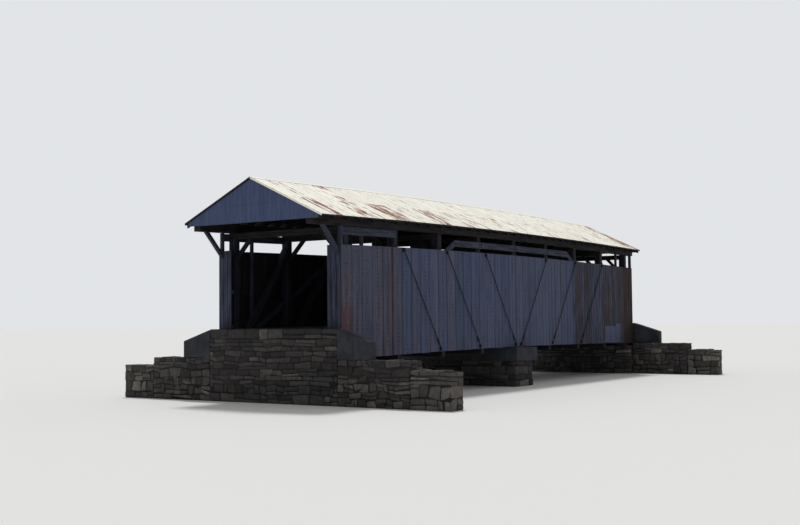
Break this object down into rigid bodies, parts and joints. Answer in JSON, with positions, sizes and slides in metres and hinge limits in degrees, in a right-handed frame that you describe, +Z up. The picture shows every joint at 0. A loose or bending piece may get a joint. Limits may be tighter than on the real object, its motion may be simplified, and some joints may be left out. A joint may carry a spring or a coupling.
{
  "type": "covered bridge",
  "caption": "Timber covered bridge with sheathed sides, a low gable roof of metal sheets, braced truss walls and stone abutments with a middle pier.",
  "frame": {"origin": "on the ground under the middle of the whole bridge, at the foot of the masonry", "axes": "+Y along the roadway from the near portal, with the long roof overhang, to the far one; +X across to the right; +Z up"},
  "size_m": [14.7, 26.87, 7.978],
  "materials": {
    "rough_stone": "rough coursed rubble, dark and stained",
    "concrete": "weathered concrete with form marks",
    "old_timber": "sawn timber, dark brown-grey, dry",
    "grey_timber": "sawn timber weathered silver-grey",
    "deck_planks": "worn rough planks",
    "siding": "vertical boarding, blue-grey with brown stains",
    "roof_sheets": "pale galvanised sheets with rust patches",
    "iron": "dark rusted iron"
  },
  "bodies": {
    "root": {"abutment_far": "rough_stone", "abutment_near": "rough_stone", "bearing_blocks": "old_timber", "cheek_walls_far": "concrete", "cheek_walls_near": "concrete", "deck": "deck_planks", "eave_boards": "grey_timber", "floor_beams": "old_timber", "floor_joists": "old_timber", "gable_beams": "old_timber", "gable_far": "siding", "gable_near": "siding", "lower_chord_left": "old_timber", "lower_chord_right": "old_timber", "needle_beams": "old_timber", "overhang_knees": "grey_timber", "pier": "rough_stone", "pier_cap": "concrete", "portal_frames": "old_timber", "portal_panels": "siding", "queen_braces_left": "old_timber", "queen_braces_right": "old_timber", "rafters_left": "old_timber", "rafters_right": "old_timber", "ridge_cap": "roof_sheets", "roof_left": "roof_sheets", "roof_right": "roof_sheets", "siding_left": "siding", "siding_rails_left": "old_timber", "siding_rails_right": "old_timber", "siding_right": "siding", "strain_beam_left": "grey_timber", "strain_beam_right": "grey_timber", "sway_knees": "old_timber", "tie_beams": "old_timber", "tie_rods_left": "iron", "tie_rods_right": "iron", "top_plate_left": "old_timber", "top_plate_right": "old_timber", "truss_braces_left": "old_timber", "truss_braces_right": "old_timber", "truss_posts_left": "old_timber", "truss_posts_right": "old_timber", "wing_walls_far": "rough_stone", "wing_walls_near": "rough_stone"}
  },
  "joints": []
}
